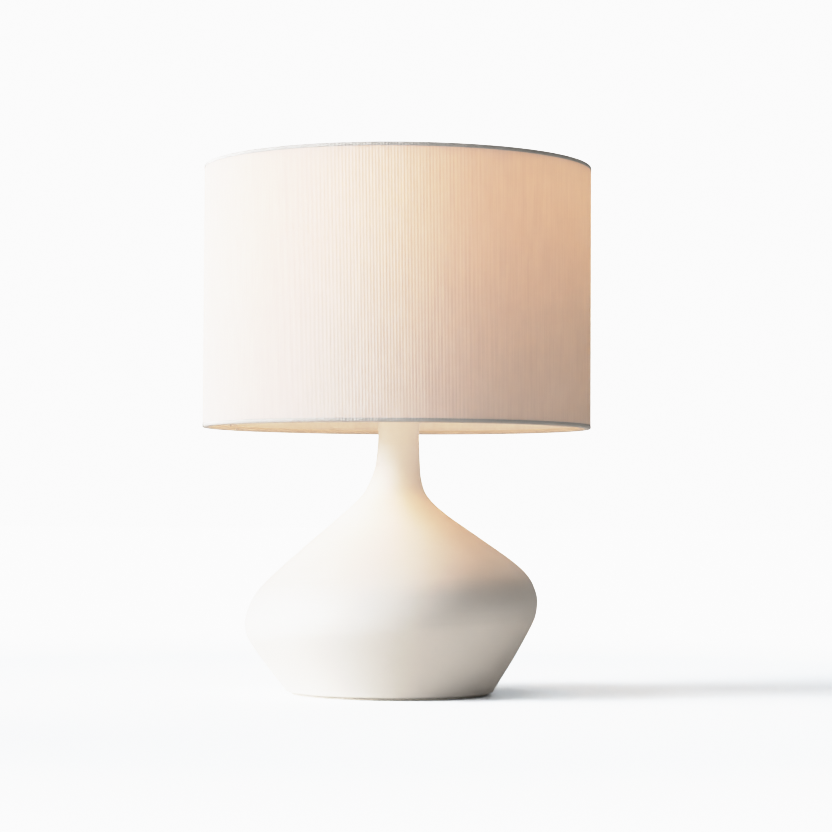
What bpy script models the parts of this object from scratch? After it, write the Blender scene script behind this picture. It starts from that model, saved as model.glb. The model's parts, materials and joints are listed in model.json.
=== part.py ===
"""Table lamp with a drum shade, as an assembly of separate parts.

A slip-cast ceramic body leans a little to one side. A threaded pipe runs up through it and clamps it
between a plate under its floor and a cap on its neck, and carries the harp saddle and the lamp socket.
The harp holds the shade's spider on a stud, under a finial.

Frame: metres, +Z up, origin on the pipe's axis at the underside of the felt pad. -Y is the front.
"""

import math

import bmesh
import bpy
from mathutils import Matrix, Vector

MM = 0.001
GAP = 0.3 * MM  # between parts that touch on the real lamp

# Driving dimensions
LAMP_HEIGHT = 483 * MM
SHADE_HEIGHT = 240 * MM
SHADE_RADIUS = 178 * MM
NECK_TOP = 254 * MM
HARP_HEIGHT = 203 * MM
PIPE_RADIUS = 5.0 * MM
PIPE_BORE = 3.5 * MM
PIPE_HOLE = 5.4 * MM  # the hole in every part that the pipe goes through

# Ceramic body: (radius, height) in mm down its right (+X) and left (-X) side, point by matching point
RIGHT_SIDE = (
    (20.7, 250.5), (21.0, 231.0), (21.7, 212.0), (23.2, 196.0), (29.0, 181.0), (46.0, 164.8), (77.9, 142.7),
    (106.5, 122.6), (122.0, 107.8), (129.2, 91.5), (129.3, 77.5), (124.8, 63.8), (108.0, 33.0), (91.5, 6.6),
)
LEFT_SIDE = (
    (16.4, 250.5), (17.1, 231.0), (18.8, 212.5), (22.6, 199.0), (31.0, 182.8), (50.0, 164.3), (84.5, 134.5),
    (113.0, 108.8), (128.5, 91.6), (136.6, 74.0), (138.0, 60.5), (133.8, 48.3), (116.0, 23.5), (101.5, 5.2),
)
BODY_STEPS = 2  # outline steps from one matching point to the next
BODY_SEGMENTS = 36
WALL = 7 * MM
FLOOR_TOP = 44 * MM
FLOOR_UNDERSIDE = 38 * MM
FLOOR_HOLE = 7.5 * MM
NECK_HOLE = (13.0 * MM, 9.6 * MM)  # right and left
INNER_FROM, INNER_TO = 1, 10  # the matching points that the inside follows

# Felt pad under the foot
PAD_CENTRE_X = -4.9 * MM
PAD_RADIUS = 90.2 * MM
PAD_THICKNESS = 2.0 * MM

# Cord outlet, through the back of the foot and square to its wall
OUTLET_HEIGHT = 20.0 * MM
OUTLET_HOLE = 6.6 * MM
OUTLET_BORE = 4.5 * MM

# Stack on top of the neck, heights of the undersides
CAP_BASE = NECK_TOP + GAP
CAP_TOP = CAP_BASE + 2.2 * MM
SADDLE_BASE = CAP_TOP + GAP
SADDLE_THICKNESS = 1.6 * MM
SADDLE_TOP = SADDLE_BASE + SADDLE_THICKNESS
NUT_HEIGHT = 3.2 * MM
NUT_FLATS = 14 * MM
SOCKET_BASE = SADDLE_TOP + GAP + NUT_HEIGHT + GAP

# Socket, heights above its base
SHELL_RADIUS = 17.0 * MM
SHELL_FROM, SHELL_TO = SOCKET_BASE + 17.6 * MM, SOCKET_BASE + 55 * MM
SWITCH_HEIGHT = SOCKET_BASE + 24 * MM
BODY_TOP = SOCKET_BASE + 27.5 * MM
SCREW_RADIUS = 13.2 * MM  # inside of the screw shell
BULB_TIP = BODY_TOP + 2.6 * MM

# Harp: the wire's centre line stands at this distance from the axis, in the YZ plane
WIRE_RADIUS = 1.6 * MM
LEG_Y = 25.8 * MM
POST_Y = 22.2 * MM  # inner face of the saddle's post
POST_TOP = SADDLE_TOP + 14.4 * MM
SLEEVE_Y = 24.6 * MM
SLEEVE_BASE = SADDLE_TOP + 3 * MM
SLEEVE_LENGTH = 10 * MM
HARP_TOP = SADDLE_BASE + HARP_HEIGHT  # seat of the spider
STUD_RADIUS = 3.1 * MM
STUD_TOP = HARP_TOP + 12 * MM

# Shade
SHADE_TOP = LAMP_HEIGHT
SHADE_BOTTOM = LAMP_HEIGHT - SHADE_HEIGHT
SHADE_SEGMENTS = 48
COVER_THICKNESS = 1.1 * MM
LINER_THICKNESS = 0.8 * MM
HEM_THICKNESS = 0.6 * MM
HEM_HEIGHT = 4.0 * MM
RING_WIRE = 1.3 * MM
LINER_OUTER = SHADE_RADIUS - COVER_THICKNESS - GAP
LINER_INNER = LINER_OUTER - LINER_THICKNESS
RING_RADIUS = LINER_INNER - GAP - RING_WIRE
HEM_INNER = RING_RADIUS - RING_WIRE - GAP - HEM_THICKNESS
FACET = math.tau / SHADE_SEGMENTS
SEAM_ANGLE = 20.5 * FACET  # back left, in the middle of a facet
SEAM_WIDTH = 12 * MM
HUB_RADIUS = 15 * MM
HUB_THICKNESS = 1.6 * MM
ARM_ANGLES = (60, 180, 300)

LAMP = bpy.data.collections.new("table_lamp")
CUTTERS = bpy.data.collections.new("cutters")


# ---------------------------------------------------------------- finishes

FINISHES = {
    "ceramic": ((0.86, 0.84, 0.80), 0.42, 0.0),
    "felt": ((0.68, 0.65, 0.60), 0.95, 0.0),
    "steel": ((0.62, 0.62, 0.62), 0.35, 1.0),
    "nickel": ((0.70, 0.68, 0.65), 0.28, 1.0),
    "brass": ((0.80, 0.62, 0.30), 0.30, 1.0),
    "white_paint": ((0.86, 0.86, 0.84), 0.45, 0.0),
    "shade_fabric": ((0.90, 0.87, 0.83), 0.90, 0.0),
    "shade_liner": ((0.92, 0.90, 0.86), 0.60, 0.0),
    "hem_fabric": ((0.54, 0.52, 0.50), 0.90, 0.0),
    "black_plastic": ((0.03, 0.03, 0.03), 0.40, 0.0),
    "card": ((0.45, 0.35, 0.24), 0.90, 0.0),
    "white_plastic": ((0.88, 0.88, 0.86), 0.40, 0.0),
    "bulb_diffuser": ((0.95, 0.92, 0.86), 0.50, 0.0),
    "clear_plastic": ((0.80, 0.82, 0.82), 0.30, 0.0),
}


def finish(name):
    """The material of that name, made on first use."""
    found = bpy.data.materials.get(name)
    if found:
        return found
    colour, roughness, metallic = FINISHES[name]
    made = bpy.data.materials.new(name)
    made.use_nodes = True
    surface = made.node_tree.nodes["Principled BSDF"]
    surface.inputs["Base Color"].default_value = (*colour, 1.0)
    surface.inputs["Roughness"].default_value = roughness
    surface.inputs["Metallic"].default_value = metallic
    return made


# ---------------------------------------------------------------- modelling helpers


def add(name, data, material_name):
    """Puts a mesh or curve in the lamp's collection as a named object."""
    obj = bpy.data.objects.new(name, data)
    LAMP.objects.link(obj)
    data.materials.append(finish(material_name))
    return obj


def mesh_object(name, bm, material_name):
    """An object from a bmesh, with its normals facing out."""
    bmesh.ops.recalc_face_normals(bm, faces=bm.faces)
    mesh = bpy.data.meshes.new(name)
    bm.to_mesh(mesh)
    bm.free()
    mesh.shade_smooth()
    mesh.set_sharp_from_angle(angle=math.radians(35))
    return add(name, mesh, material_name)


def turned(name, outline, material_name, segments=32, closed=True):
    """A solid turned about Z from (radius, height) points, down its outer side and up its inner one."""
    points = [(radius, 0.0, height) for radius, height in outline]
    edges = [(i, i + 1) for i in range(len(points) - 1)]
    if closed:
        edges.append((len(points) - 1, 0))
    mesh = bpy.data.meshes.new(name)
    mesh.from_pydata(points, edges, [])
    obj = add(name, mesh, material_name)
    screw = obj.modifiers.new("Screw", "SCREW")
    screw.axis = "Z"
    screw.angle = math.tau
    screw.steps = segments
    screw.render_steps = segments
    screw.use_merge_vertices = True
    screw.merge_threshold = 0.00001
    screw.use_smooth_shade = True
    return obj


def tube(name, inner, outer, bottom, top, material_name, segments=32):
    """A plain ring or tube about Z."""
    outline = ((outer, top), (outer, bottom), (inner, bottom), (inner, top))
    return turned(name, outline, material_name, segments)


def cylinder_mesh(radius, start, end, segments=24, end_radius=None):
    """A bmesh cylinder or cone between two points."""
    bm = bmesh.new()
    axis = end - start
    bmesh.ops.create_cone(
        bm, cap_ends=True, segments=segments, radius1=radius,
        radius2=radius if end_radius is None else end_radius, depth=axis.length,
    )
    turn = Vector((0, 0, 1)).rotation_difference(axis).to_matrix().to_4x4()
    bmesh.ops.transform(bm, matrix=Matrix.Translation((start + end) / 2) @ turn, verts=bm.verts)
    return bm


def cylinder(name, radius, start, end, material_name, segments=24, end_radius=None):
    """A solid cylinder or cone between two points."""
    bm = cylinder_mesh(radius, Vector(start), Vector(end), segments, end_radius)
    return mesh_object(name, bm, material_name)


def cut(obj, bm):
    """Cuts a bmesh shape out of an object, and keeps the cutter as a hidden helper."""
    bmesh.ops.recalc_face_normals(bm, faces=bm.faces)
    name = f"{obj.name}_cutter_{len(obj.modifiers)}"
    mesh = bpy.data.meshes.new(name)
    bm.to_mesh(mesh)
    bm.free()
    cutter = bpy.data.objects.new(name, mesh)
    cutter.hide_render = True
    cutter.display_type = "WIRE"
    CUTTERS.objects.link(cutter)
    boolean = obj.modifiers.new("Cut", "BOOLEAN")
    boolean.operation = "DIFFERENCE"
    boolean.object = cutter


def cut_cylinder(obj, radius, start, end, segments=24):
    cut(obj, cylinder_mesh(radius, Vector(start), Vector(end), segments))


def wire(name, points, radius, material_name):
    """A round wire along a list of points."""
    curve = bpy.data.curves.new(name, "CURVE")
    curve.dimensions = "3D"
    curve.bevel_depth = radius
    curve.bevel_resolution = 2
    curve.use_fill_caps = True
    spline = curve.splines.new("POLY")
    spline.points.add(len(points) - 1)
    for target, point in zip(spline.points, points):
        target.co = (*point, 1.0)
    return add(name, curve, material_name)


def smooth_path(points, steps):
    """A curve through points of any dimension, with steps - 1 more between each two (Catmull-Rom)."""
    points = [Vector(p) for p in points]
    ends = [points[0] * 2 - points[1], *points, points[-1] * 2 - points[-2]]
    path = []
    for before, a, b, after in zip(ends, ends[1:], ends[2:], ends[3:]):
        for step in range(steps):
            t = step / steps
            path.append(
                a + (b - before) * (t / 2)
                + (before * 2 - a * 5 + b * 4 - after) * (t * t / 2)
                + (a * 3 - before - b * 3 + after) * (t ** 3 / 2)
            )
    return [*path, points[-1]]


def arc(centre, radius, start, end, steps):
    """Points on an arc in the outline's plane, between two angles in degrees."""
    angles = [math.radians(start + (end - start) * step / steps) for step in range(steps + 1)]
    return [(centre[0] + radius * math.cos(a), centre[1] + radius * math.sin(a)) for a in angles]


# ---------------------------------------------------------------- ceramic body


def inset(path, distance):
    """A (radius, height) path that runs down an outer side, moved inwards square to itself."""
    moved = []
    for i, point in enumerate(path):
        along = path[min(i + 1, len(path) - 1)] - path[max(i - 1, 0)]
        outwards = Vector((-along.y, along.x)).normalized()
        moved.append(point - outwards * distance)
    return moved


def outer_path(side):
    """The outside of the ceramic wall on one side, in metres."""
    return smooth_path([Vector(p) * MM for p in side], BODY_STEPS)


def body_outline(side, neck_hole, foot_edge, foot_cavity, cavity_corner, floor_corner):
    """The closed outline of the ceramic wall on one side: down the outside, and back up the inside."""
    outside = outer_path(side)
    inside = inset(outside, WALL)[::BODY_STEPS][INNER_FROM:INNER_TO]
    foot = PAD_THICKNESS + GAP
    neck_radius = outside[0].x
    neck_edge = arc((neck_radius - 3.5 * MM, NECK_TOP - 3.5 * MM), 3.5 * MM, 90, 20, 3)
    foot_round = [(outside[-1].x - 1.4 * MM, foot + 1.1 * MM), (foot_edge, foot)]
    underneath = [
        (foot_cavity, foot),
        (cavity_corner, FLOOR_UNDERSIDE),
        (FLOOR_HOLE, FLOOR_UNDERSIDE),
        (FLOOR_HOLE, FLOOR_TOP),
        (floor_corner, FLOOR_TOP),
    ]
    neck_inside = [(neck_hole, inside[0].y + 6 * MM), (neck_hole, NECK_TOP)]
    return [*neck_edge, *outside[1:], *foot_round, *underneath, *reversed(inside), *neck_inside]


def leaning_loft(name, right, left, segments, material_name):
    """A closed solid whose outline changes smoothly from the right one at +X to the left one at -X."""
    bm = bmesh.new()
    rings = []
    for a, b in zip(right, left):
        ring = []
        for k in range(segments):
            angle = math.tau * k / segments
            share = (1 + math.cos(angle)) / 2
            radius, height = Vector(b).lerp(Vector(a), share)
            ring.append(bm.verts.new((radius * math.cos(angle), radius * math.sin(angle), height)))
        rings.append(ring)
    for upper, lower in zip(rings, [*rings[1:], rings[0]]):
        for k in range(segments):
            n = (k + 1) % segments
            bm.faces.new((upper[k], lower[k], lower[n], upper[n]))
    return mesh_object(name, bm, material_name)


def cord_outlet():
    """Where the cord comes out of the back of the foot, and the direction square to the wall there."""
    back = [(a + b) / 2 for a, b in zip(outer_path(RIGHT_SIDE), outer_path(LEFT_SIDE))]
    for upper, lower in zip(back, back[1:]):
        if lower.y < OUTLET_HEIGHT <= upper.y and upper.x > PAD_RADIUS:
            point = lower.lerp(upper, (OUTLET_HEIGHT - lower.y) / (upper.y - lower.y))
            along = (lower - upper).normalized()
            return Vector((0, point.x, point.y)), Vector((0, -along.y, along.x))


def ceramic_body():
    right = body_outline(RIGHT_SIDE, NECK_HOLE[0], 86.8 * MM, 79.5 * MM, 102.0 * MM, 106.0 * MM)
    left = body_outline(LEFT_SIDE, NECK_HOLE[1], 96.6 * MM, 89.0 * MM, 117.5 * MM, 122.5 * MM)
    body = leaning_loft("ceramic_body", right, left, BODY_SEGMENTS, "ceramic")
    point, out = cord_outlet()
    cut_cylinder(body, OUTLET_HOLE, point - out * 25 * MM, point + out * 15 * MM)


def cord_grommet():
    """A flanged bushing that guards the cord where it leaves the back of the foot."""
    barrel, flange = OUTLET_HOLE - GAP, OUTLET_HOLE + 2 * MM
    point, out = cord_outlet()
    outline = (
        (flange - 0.6 * MM, 2.3 * MM), (flange, 1.7 * MM), (flange, 0.6 * MM), (barrel, 0.6 * MM),
        (barrel, -6 * MM), (OUTLET_BORE, -6 * MM),
        (OUTLET_BORE, 1.5 * MM), (OUTLET_BORE + 0.8 * MM, 2.3 * MM),
    )
    grommet = turned("cord_grommet", outline, "white_plastic", 16)
    grommet.location = point
    grommet.rotation_mode = "QUATERNION"
    grommet.rotation_quaternion = Vector((0, 0, 1)).rotation_difference(out)


def felt_pad():
    cylinder("felt_pad", PAD_RADIUS, (PAD_CENTRE_X, 0, 0), (PAD_CENTRE_X, 0, PAD_THICKNESS), "felt", 48)


# ---------------------------------------------------------------- pipe and what it clamps


def hex_nut(name, base):
    bm = cylinder_mesh(
        NUT_FLATS / math.sqrt(3), Vector((0, 0, base)), Vector((0, 0, base + NUT_HEIGHT)), segments=6
    )
    nut = mesh_object(name, bm, "steel")
    cut_cylinder(nut, PIPE_HOLE, (0, 0, base - MM), (0, 0, base + NUT_HEIGHT + MM))


def pipe_and_clamps():
    plate_top = FLOOR_UNDERSIDE - GAP
    plate_base = plate_top - 1.5 * MM
    washer_top = plate_base - GAP
    washer_base = washer_top - 1.2 * MM
    nut_base = washer_base - GAP - NUT_HEIGHT
    pipe_end = nut_base - 1.5 * MM
    tube("threaded_pipe", PIPE_BORE, PIPE_RADIUS, pipe_end, SOCKET_BASE + 5 * MM, "steel", 16)
    tube("clamp_plate", PIPE_HOLE, 35 * MM, plate_base, plate_top, "steel", 24)
    tube("lock_washer", PIPE_HOLE, 8.5 * MM, washer_base, washer_top, "steel", 16)
    hex_nut("bottom_hex_nut", nut_base)
    hex_nut("top_hex_nut", SADDLE_TOP + GAP)


def neck_cap():
    """A turned cap that closes the neck, with a spigot that centres it."""
    rim, spigot = 16.0 * MM, 8.8 * MM
    outline = (
        (rim - 1.2 * MM, CAP_TOP), (rim, CAP_TOP - 1.0 * MM), (rim, CAP_BASE), (spigot, CAP_BASE),
        (spigot, CAP_BASE - 5 * MM), (PIPE_HOLE, CAP_BASE - 5 * MM), (PIPE_HOLE, CAP_TOP),
    )
    turned("neck_cap", outline, "nickel", 24)


# ---------------------------------------------------------------- harp


def harp_saddle():
    """A strip with a hole for the pipe, whose ends turn up into posts for the harp's legs."""
    width, post_width = 14 * MM, 4.4 * MM
    outer = POST_Y + SADDLE_THICKNESS
    side = [
        (-outer, POST_TOP), (-POST_Y, POST_TOP), (-POST_Y, SADDLE_TOP), (POST_Y, SADDLE_TOP),
        (POST_Y, POST_TOP), (outer, POST_TOP), (outer, SADDLE_BASE), (-outer, SADDLE_BASE),
    ]
    bm = bmesh.new()
    near = [bm.verts.new((-width / 2, y, z)) for y, z in side]
    face = bm.faces.new(near)
    made = bmesh.ops.extrude_face_region(bm, geom=[face])
    moved = [v for v in made["geom"] if isinstance(v, bmesh.types.BMVert)]
    bmesh.ops.translate(bm, verts=moved, vec=(width, 0, 0))
    saddle = mesh_object("harp_saddle", bm, "nickel")
    cut_cylinder(saddle, PIPE_HOLE, (0, 0, SADDLE_BASE - MM), (0, 0, SADDLE_TOP + MM))
    for x_side in (-1, 1):
        for y_side in (-1, 1):
            shoulder = bmesh.new()
            bmesh.ops.create_cube(shoulder, size=1.0)
            size = (width, 6 * MM, 14 * MM)
            place = (
                x_side * (post_width / 2 + width / 2),
                y_side * (POST_Y + SADDLE_THICKNESS / 2),
                SADDLE_TOP + 2 * MM + size[2] / 2,
            )
            bmesh.ops.scale(shoulder, verts=shoulder.verts, vec=size)
            bmesh.ops.translate(shoulder, verts=shoulder.verts, vec=place)
            cut(saddle, shoulder)


def harp():
    """One wire, up from a post, out round the bulb, over the top and down to the other post."""
    top = HARP_TOP - 5.0 * MM
    foot = SADDLE_TOP + 1.0 * MM
    leg = [(LEG_Y, foot), (LEG_Y, foot + 26 * MM)]
    side = [
        (27.5 * MM, foot + 33 * MM), (40.0 * MM, foot + 50 * MM), (52.0 * MM, foot + 76 * MM),
        (56.5 * MM, foot + 108 * MM), (52.5 * MM, foot + 142 * MM), (40.5 * MM, foot + 171 * MM),
        (24.0 * MM, top - 5.5 * MM), (11.0 * MM, top),
    ]
    half = [Vector(leg[0]), *smooth_path([leg[1], *side], 3)]
    route = [(0, -p.x, p.y) for p in half] + [(0, p.x, p.y) for p in reversed(half)]
    wire("harp", route, WIRE_RADIUS, "nickel")


def harp_stud():
    """The boss that the wire goes through, with the seat and stud for the shade's hub."""
    boss, seat = 5.5 * MM, 8.5 * MM
    outline = (
        (0, STUD_TOP), (STUD_RADIUS - 0.6 * MM, STUD_TOP), (STUD_RADIUS, STUD_TOP - 0.6 * MM),
        (STUD_RADIUS, HARP_TOP), (seat, HARP_TOP), (seat, HARP_TOP - 1.6 * MM), (boss, HARP_TOP - 2.2 * MM),
        (boss, HARP_TOP - 8.4 * MM), (boss - 0.8 * MM, HARP_TOP - 9.2 * MM), (0, HARP_TOP - 9.2 * MM),
    )
    stud = turned("harp_stud", outline, "nickel", 16, closed=False)
    height = HARP_TOP - 5.0 * MM
    cut_cylinder(stud, WIRE_RADIUS + GAP, (0, -12 * MM, height), (0, 12 * MM, height), 12)


def harp_sleeves():
    """Two flared sleeves that drop over the posts and lock the harp's legs to them."""
    bore, top_radius, foot_radius = 3.6 * MM, 4.4 * MM, 5.0 * MM
    for name, side in (("harp_sleeve_front", -1), ("harp_sleeve_back", 1)):
        outline = (
            (top_radius, SLEEVE_LENGTH), (top_radius, 3 * MM), (foot_radius, 1.2 * MM),
            (foot_radius, 0), (bore, 0), (bore, SLEEVE_LENGTH),
        )
        sleeve = turned(name, outline, "nickel", 16)
        sleeve.location = (0, side * SLEEVE_Y, SLEEVE_BASE)


# ---------------------------------------------------------------- socket and switch


def socket_cap():
    """The cup that screws on the pipe and carries the socket."""
    wall = 0.8 * MM
    neck = 7.5 * MM
    outer = [
        (SHELL_RADIUS, SOCKET_BASE + 17.3 * MM), (SHELL_RADIUS, SOCKET_BASE + 14 * MM),
        (SHELL_RADIUS - 1.6 * MM, SOCKET_BASE + 10.5 * MM), (11.0 * MM, SOCKET_BASE + 7.5 * MM),
        (neck, SOCKET_BASE + 6 * MM), (neck, SOCKET_BASE),
    ]
    inner = [
        (PIPE_HOLE, SOCKET_BASE), (PIPE_HOLE, SOCKET_BASE + 7.2 * MM), (10.4 * MM, SOCKET_BASE + 8.6 * MM),
        (SHELL_RADIUS - 1.6 * MM - wall, SOCKET_BASE + 11.4 * MM),
        (SHELL_RADIUS - wall, SOCKET_BASE + 14.4 * MM), (SHELL_RADIUS - wall, SOCKET_BASE + 17.3 * MM),
    ]
    cap = turned("socket_cap", outer + inner, "nickel", 24)
    height = SOCKET_BASE + 3 * MM
    cut_cylinder(cap, 1.8 * MM, (0, 3 * MM, height), (0, 12 * MM, height), 16)


def cap_set_screw():
    """The grub screw that locks the cap on the pipe."""
    height = SOCKET_BASE + 3 * MM
    cylinder("cap_set_screw", 1.4 * MM, (0, PIPE_HOLE, height), (0, 10.2 * MM, height), "steel", 16)


def socket_shell():
    """The outer shell, with a beaded rim and a hole for the switch shaft."""
    wall = 0.6 * MM
    radius = SHELL_RADIUS
    outline = (
        (radius - 0.2 * MM, SHELL_TO), (radius + 0.5 * MM, SHELL_TO - 0.7 * MM),
        (radius + 0.5 * MM, SHELL_TO - 1.8 * MM), (radius, SHELL_TO - 2.6 * MM), (radius, SHELL_FROM),
        (radius - wall, SHELL_FROM), (radius - wall, SHELL_TO),
    )
    shell = turned("socket_shell", outline, "nickel", 24)
    cut_cylinder(shell, 3.4 * MM, (10 * MM, 0, SWITCH_HEIGHT), (20 * MM, 0, SWITCH_HEIGHT), 16)


def socket_inside():
    """The card liner, the moulded body, the screw shell and the contacts."""
    liner = tube("socket_liner", 15.2 * MM, 16.0 * MM, SHELL_FROM + 0.5 * MM, SHELL_TO - MM, "card", 24)
    cut_cylinder(liner, 3.4 * MM, (10 * MM, 0, SWITCH_HEIGHT), (20 * MM, 0, SWITCH_HEIGHT), 16)
    waist, head = 9.0 * MM, 13.9 * MM
    outline = (
        (0, BODY_TOP), (head, BODY_TOP), (head, SOCKET_BASE + 20 * MM), (waist, SOCKET_BASE + 19 * MM),
        (waist, SOCKET_BASE + 13 * MM), (0, SOCKET_BASE + 13 * MM),
    )
    body = turned("socket_body", outline, "black_plastic", 24, closed=False)
    cut_cylinder(body, 2.6 * MM, (4 * MM, 0, SWITCH_HEIGHT), (16 * MM, 0, SWITCH_HEIGHT), 16)
    tube("screw_shell", SCREW_RADIUS, SCREW_RADIUS + 0.6 * MM, BODY_TOP + GAP, SHELL_TO - 2 * MM, "brass", 24)
    foot, tip = (0, 0, BODY_TOP + GAP), (0, 0, BULB_TIP - GAP)
    cylinder("centre_contact", 4.0 * MM, foot, tip, "brass", 16, 3.0 * MM)
    terminal_height = SOCKET_BASE + 16.2 * MM
    for name, side, metal in (("terminal_screw_live", -1, "brass"), ("terminal_screw_neutral", 1, "steel")):
        start = (0, side * (waist + GAP), terminal_height)
        end = (0, side * (waist + 2.2 * MM), terminal_height)
        cylinder(name, 2.5 * MM, start, end, metal, 16)


def switch():
    """The turning shaft and its fluted knob."""
    height = SWITCH_HEIGHT
    cylinder("switch_shaft", 2.2 * MM, (4.4 * MM, 0, height), (31 * MM, 0, height), "brass", 16)
    flutes = 12
    bm = cylinder_mesh(5.8 * MM, Vector((23.3 * MM, 0, height)), Vector((36 * MM, 0, height)), flutes * 2)
    for vertex in bm.verts:
        offset = vertex.co - Vector((vertex.co.x, 0, height))
        place = round(math.atan2(offset.z, offset.y) / (math.pi / flutes))
        shrink = 0.90 if place % 2 else 1.0
        taper = 0.88 if vertex.co.x > 30 * MM else 1.0
        vertex.co -= offset * (1 - shrink * taper)
    knob = mesh_object("switch_knob", bm, "black_plastic")
    cut_cylinder(knob, 2.5 * MM, (22 * MM, 0, height), (31.3 * MM, 0, height), 16)


# ---------------------------------------------------------------- leads


def leads():
    """Two leads from the terminals, down the pipe to the foot, where crimps join them to the cord."""
    radius = 1.2 * MM
    rest = PAD_THICKNESS + GAP
    mouth = FLOOR_UNDERSIDE - 10 * MM
    for name, side in (("live", -1), ("neutral", 1)):
        x = side * 1.6 * MM
        inside_cap = [
            (0, side * 10.7 * MM, SOCKET_BASE + 13.2 * MM), (0, side * 10.5 * MM, SOCKET_BASE + 12.2 * MM),
            (0.4 * x, side * 8.6 * MM, SOCKET_BASE + 10.6 * MM),
            (0.8 * x, side * 4.6 * MM, SOCKET_BASE + 9.4 * MM),
            (x, side * 1.2 * MM, SOCKET_BASE + 7.4 * MM), (x, 0, SOCKET_BASE + 4.6 * MM), (x, 0, SOCKET_BASE),
        ]
        foot = [
            (x, 0, mouth), (x * 1.2, 3 * MM, mouth - 9 * MM), (x * 1.8, 10 * MM, mouth - 18 * MM),
            (x * 2.6, 21 * MM, rest + radius + 1.2 * MM), (x * 3.2, 33 * MM, rest + radius + 0.8 * MM),
            (x * 3.6, 44 * MM, rest + radius + 0.8 * MM),
        ]
        route = smooth_path(inside_cap, 2) + smooth_path(foot, 2)
        wire(f"lead_{name}", route, radius, "white_plastic" if side > 0 else "black_plastic")
        start = Vector((x * 3.6, 44 * MM + GAP, rest + 2.2 * MM))
        end = start + Vector((0, 14 * MM, 0))
        cylinder(f"crimp_{name}", 2.0 * MM, start, end, "clear_plastic", 12, 2.1 * MM)


# ---------------------------------------------------------------- bulb


def bulb():
    """A pear-shaped lamp bulb, from its tip contact up: insulator, screw base, housing and dome."""
    base_from = BULB_TIP + 3.4 * MM
    base_to = SHELL_TO - 1.0 * MM
    thread = 12.7 * MM
    contact_top = (0, 0, BULB_TIP + 0.9 * MM)
    cylinder("bulb_tip_contact", 2.2 * MM, (0, 0, BULB_TIP), contact_top, "brass", 16, 3.6 * MM)
    insulator = (
        (0, base_from - GAP), (8.5 * MM, base_from - GAP),
        (5.2 * MM, BULB_TIP + 1.2 * MM), (0, BULB_TIP + 1.2 * MM),
    )
    turned("bulb_insulator", insulator, "black_plastic", 16, closed=False)
    screw_base = (
        (0, base_to), (thread, base_to), (thread, base_from + 3 * MM), (9.6 * MM, base_from), (0, base_from),
    )
    turned("bulb_screw_base", screw_base, "nickel", 24, closed=False)
    housing_from = base_to + GAP
    waist = housing_from + 26 * MM
    housing = (
        (0, waist), (26.5 * MM, waist), (25.0 * MM, waist - 6 * MM), (19.0 * MM, housing_from + 9 * MM),
        (14.5 * MM, housing_from + 3 * MM), (13.8 * MM, housing_from), (0, housing_from),
    )
    turned("bulb_housing", housing, "white_plastic", 24, closed=False)
    dome_from = waist + GAP
    side = ((0, 58), (10, 57), (20, 52), (27, 42.5), (30.0, 30.0), (29.0, 14.0), (26.5, 0))
    outside = [(radius * MM, dome_from + height * MM) for radius, height in side]
    inside = [(r * 0.955, dome_from + (height - dome_from) * 0.975) for r, height in reversed(outside)]
    turned("bulb_dome", outside + inside, "bulb_diffuser", 24, closed=False)


# ---------------------------------------------------------------- shade and finial


def finial():
    base = HARP_TOP + GAP + HUB_THICKNESS + GAP
    ball_radius = 6.6 * MM
    ball_height = base + 9.2 * MM
    ball = arc((0, ball_height), ball_radius, 90, -38, 6)
    foot = [(4.7 * MM, base + 3.6 * MM), (6.8 * MM, base + 2.8 * MM), (6.8 * MM, base)]
    bore_radius, bore_top = STUD_RADIUS + 0.4 * MM, STUD_TOP + 0.6 * MM
    bore = [(bore_radius, base), (bore_radius, bore_top), (0, bore_top)]
    turned("finial", [(0, ball_height + ball_radius), *ball[1:], *foot, *bore], "nickel", 20, closed=False)


def shade_walls():
    edge = HEM_THICKNESS + GAP
    bottom, top = SHADE_BOTTOM + edge, SHADE_TOP - edge
    inner = SHADE_RADIUS - COVER_THICKNESS
    tube("shade_cover", inner, SHADE_RADIUS, bottom, top, "shade_fabric", SHADE_SEGMENTS)
    tube("shade_liner", LINER_INNER, LINER_OUTER, bottom, top, "shade_liner", SHADE_SEGMENTS)


def hem(name, edge, up, inner_height):
    """A folded hem round an edge of the shade. up is 1 at the bottom edge and -1 at the top one."""
    outer, inner = SHADE_RADIUS + GAP + HEM_THICKNESS, HEM_INNER
    fold, outer_end, inner_end = (edge + up * h for h in (HEM_THICKNESS, HEM_HEIGHT, inner_height))
    outline = [
        (outer, outer_end), (outer, edge), (inner, edge), (inner, inner_end),
        (inner + HEM_THICKNESS, inner_end), (inner + HEM_THICKNESS, fold),
        (outer - HEM_THICKNESS, fold), (outer - HEM_THICKNESS, outer_end),
    ]
    if up < 0:
        outline.reverse()
    turned(name, outline, "hem_fabric", SHADE_SEGMENTS)


def shade_rings():
    depth = HEM_THICKNESS + 2 * GAP + RING_WIRE
    for name, height in (("shade_top_ring", SHADE_TOP - depth), ("shade_bottom_ring", SHADE_BOTTOM + depth)):
        outline = [(RING_RADIUS + x, height + z) for x, z in arc((0, 0), RING_WIRE, 90, -210, 5)]
        turned(name, outline, "white_paint", SHADE_SEGMENTS)


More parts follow.
